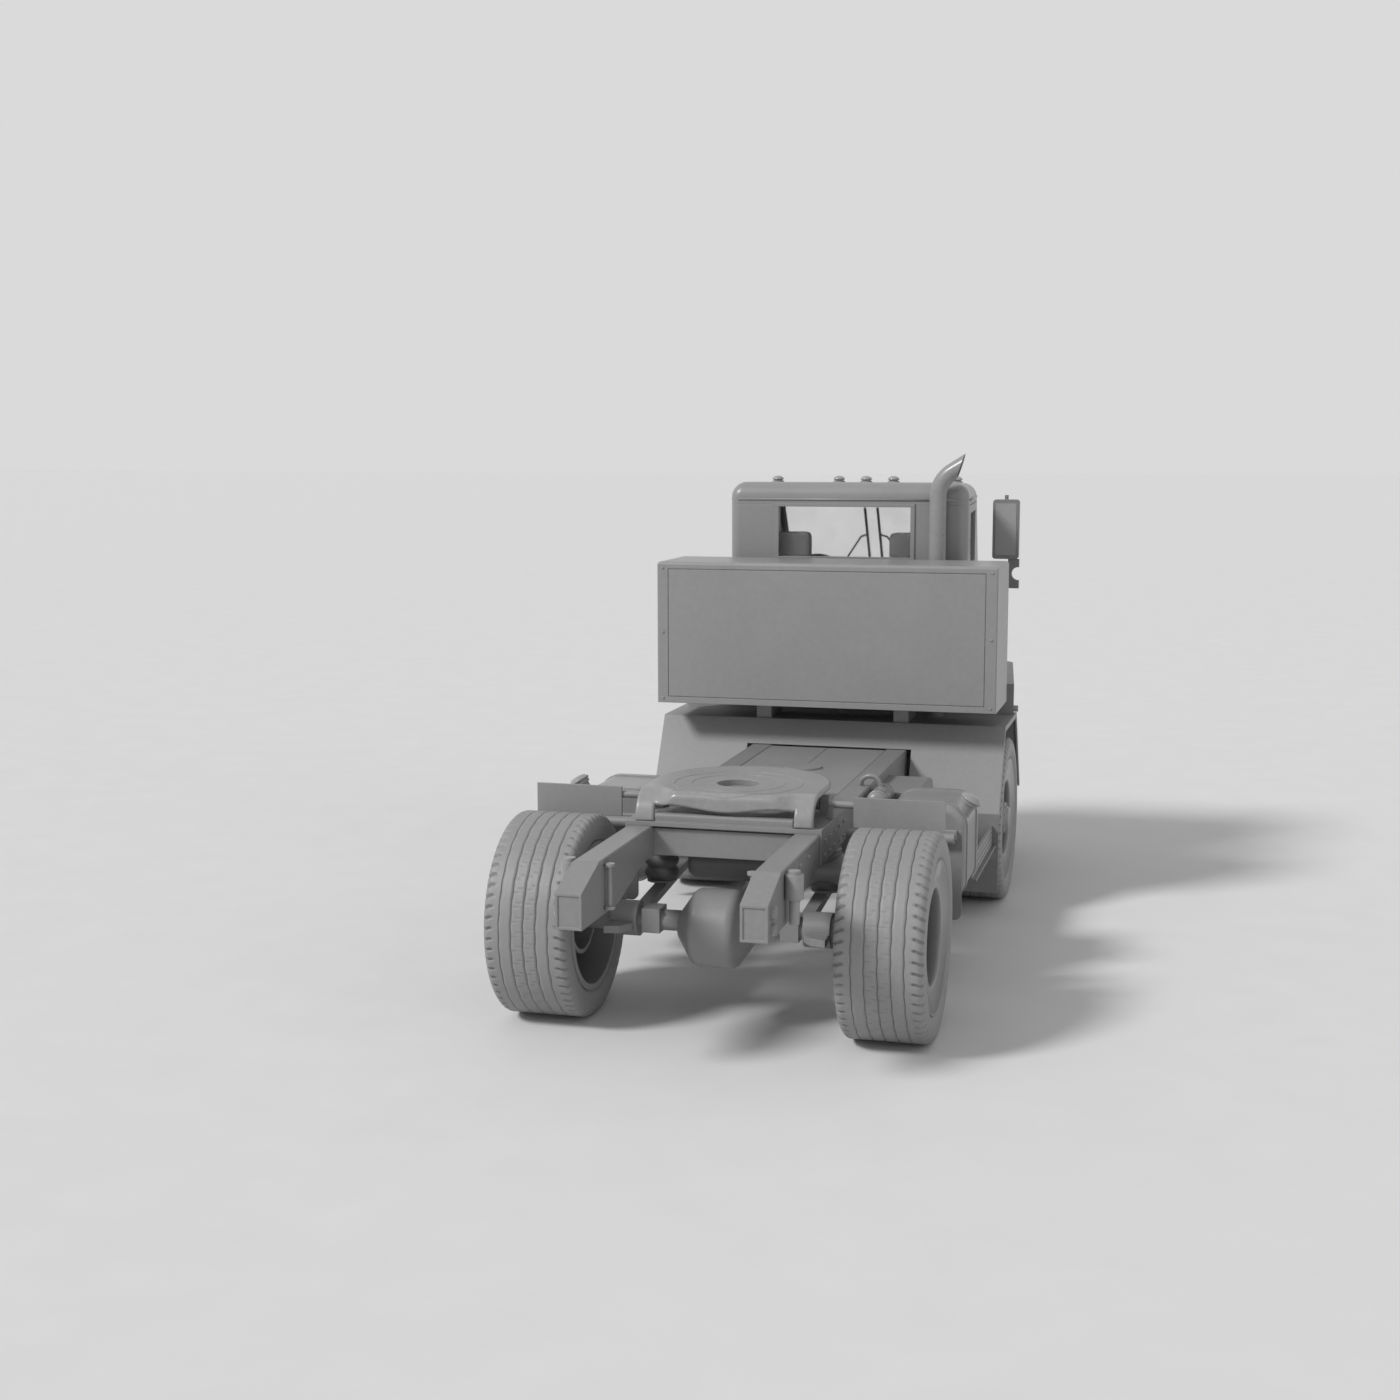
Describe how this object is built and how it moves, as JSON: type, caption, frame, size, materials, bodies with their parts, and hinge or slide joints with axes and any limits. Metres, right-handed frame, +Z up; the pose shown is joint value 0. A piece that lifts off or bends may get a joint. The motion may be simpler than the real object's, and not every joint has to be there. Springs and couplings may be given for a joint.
{
  "type": "terminal tractor",
  "caption": "Cab-forward terminal tractor with a fifth wheel, open rail tails, a wide locker behind the narrow cab, a side exhaust stack and broad tyres.",
  "frame": {"origin": "on the ground under the centre of the bounding box", "axes": "+Y forward along the truck, +X to its right, +Z up"},
  "size_m": [2.4568, 6.19, 3.0119],
  "materials": {
    "axle_cast": "matte",
    "cab_paint": "satin",
    "chassis_paint": "satin",
    "clear_glass": "clear",
    "deck_plate": "satin",
    "engine_cast": "matte",
    "fitting_steel": "satin",
    "flap_rubber": "matte",
    "guard_paint": "satin",
    "lamp_lens": "gloss",
    "locker_paint": "satin",
    "plate_steel": "satin",
    "seat_fabric": "matte",
    "spring_rubber": "matte",
    "stack_metal": "satin",
    "step_metal": "satin",
    "tank_metal": "satin",
    "trim_plastic": "matte",
    "tyre_rubber": "matte",
    "wheel_paint": "satin"
  },
  "bodies": {
    "chassis": {"air_bottle": "tank_metal", "air_tank": "chassis_paint", "back_window": "clear_glass", "battery_box": "chassis_paint", "bumper": "chassis_paint", "cab_back_wall": "cab_paint", "cab_base": "guard_paint", "cab_floor": "cab_paint", "cab_front": "cab_paint", "cab_roof": "cab_paint", "cross_members": "chassis_paint", "dashboard": "trim_plastic", "deck_plates": "deck_plate", "engine": "engine_cast", "exhaust_stack": "stack_metal", "fifth_wheel_base": "chassis_paint", "frame_rails": "chassis_paint", "front_beam": "axle_cast", "front_mudguard": "guard_paint", "front_springs": "axle_cast", "fuel_tanks": "tank_metal", "grille": "trim_plastic", "lamps": "lamp_lens", "locker": "locker_paint", "mirrors": "trim_plastic", "mudflaps": "flap_rubber", "propeller_shaft": "axle_cast", "rail_buffers": "fitting_steel", "rear_axle": "axle_cast", "rear_mudguards": "guard_paint", "rear_springs": "spring_rubber", "seat_frames": "trim_plastic", "seat_pads": "seat_fabric", "side_steps": "step_metal", "steering_wheel": "trim_plastic", "windscreen": "clear_glass", "wipers": "trim_plastic"},
    "fifth_wheel": {"fifth_wheel_plate": "plate_steel"},
    "knuckle_left": {"knuckle_left": "axle_cast"},
    "knuckle_right": {"knuckle_right": "axle_cast"},
    "tie_rod": {"tie_rod": "fitting_steel"},
    "wheel_front_left": {"tyre_front_left": "tyre_rubber", "wheel_front_left": "wheel_paint"},
    "wheel_front_right": {"tyre_front_right": "tyre_rubber", "wheel_front_right": "wheel_paint"},
    "wheel_rear_left": {"tyre_rear_left": "tyre_rubber", "wheel_rear_left": "wheel_paint"},
    "wheel_rear_right": {"tyre_rear_right": "tyre_rubber", "wheel_rear_right": "wheel_paint"},
    "door_left": {"door_left": "cab_paint", "door_glass_left": "clear_glass"},
    "door_right": {"door_right": "cab_paint", "door_glass_right": "clear_glass"}
  },
  "joints": [
    {"name": "steer_left", "type": "hinge", "parent": "chassis", "child": "knuckle_left", "pos_m": [-0.9, 1.355, 0.55], "axis": [0, 0, 1], "range_deg": [-35, 35]},
    {"name": "steer_right", "type": "hinge", "parent": "chassis", "child": "knuckle_right", "pos_m": [0.9, 1.355, 0.55], "axis": [0, 0, 1], "range_deg": [-35, 35]},
    {"name": "tie_rod_swing", "type": "hinge", "parent": "knuckle_left", "child": "tie_rod", "pos_m": [-0.9, 1.185, 0.42], "axis": [0, 0, 1], "range_deg": [-35, 35]},
    {"name": "spin_front_left", "type": "hinge", "parent": "knuckle_left", "child": "wheel_front_left", "pos_m": [-0.94, 1.355, 0.55], "axis": [1, 0, 0], "continuous": true},
    {"name": "spin_front_right", "type": "hinge", "parent": "knuckle_right", "child": "wheel_front_right", "pos_m": [0.94, 1.355, 0.55], "axis": [1, 0, 0], "continuous": true},
    {"name": "spin_rear_left", "type": "hinge", "parent": "chassis", "child": "wheel_rear_left", "pos_m": [-0.93, -1.915, 0.55], "axis": [1, 0, 0], "continuous": true},
    {"name": "spin_rear_right", "type": "hinge", "parent": "chassis", "child": "wheel_rear_right", "pos_m": [0.93, -1.915, 0.55], "axis": [1, 0, 0], "continuous": true},
    {"name": "door_left_hinge", "type": "hinge", "parent": "chassis", "child": "door_left", "pos_m": [-0.78454, 2.485, 1.84], "axis": [0, 0, -1], "range_deg": [0, 70]},
    {"name": "door_right_hinge", "type": "hinge", "parent": "chassis", "child": "door_right", "pos_m": [0.78454, 2.485, 1.84], "axis": [0, 0, 1], "range_deg": [0, 70]},
    {"name": "fifth_wheel_tilt", "type": "hinge", "parent": "chassis", "child": "fifth_wheel", "pos_m": [0, -1.465, 1.15], "axis": [-1, 0, 0], "range_deg": [0, 12]}
  ],
  "couplings": [
    {"joint": "steer_right", "follows": "steer_left", "ratio": 1},
    {"joint": "tie_rod_swing", "follows": "steer_left", "ratio": -1}
  ]
}
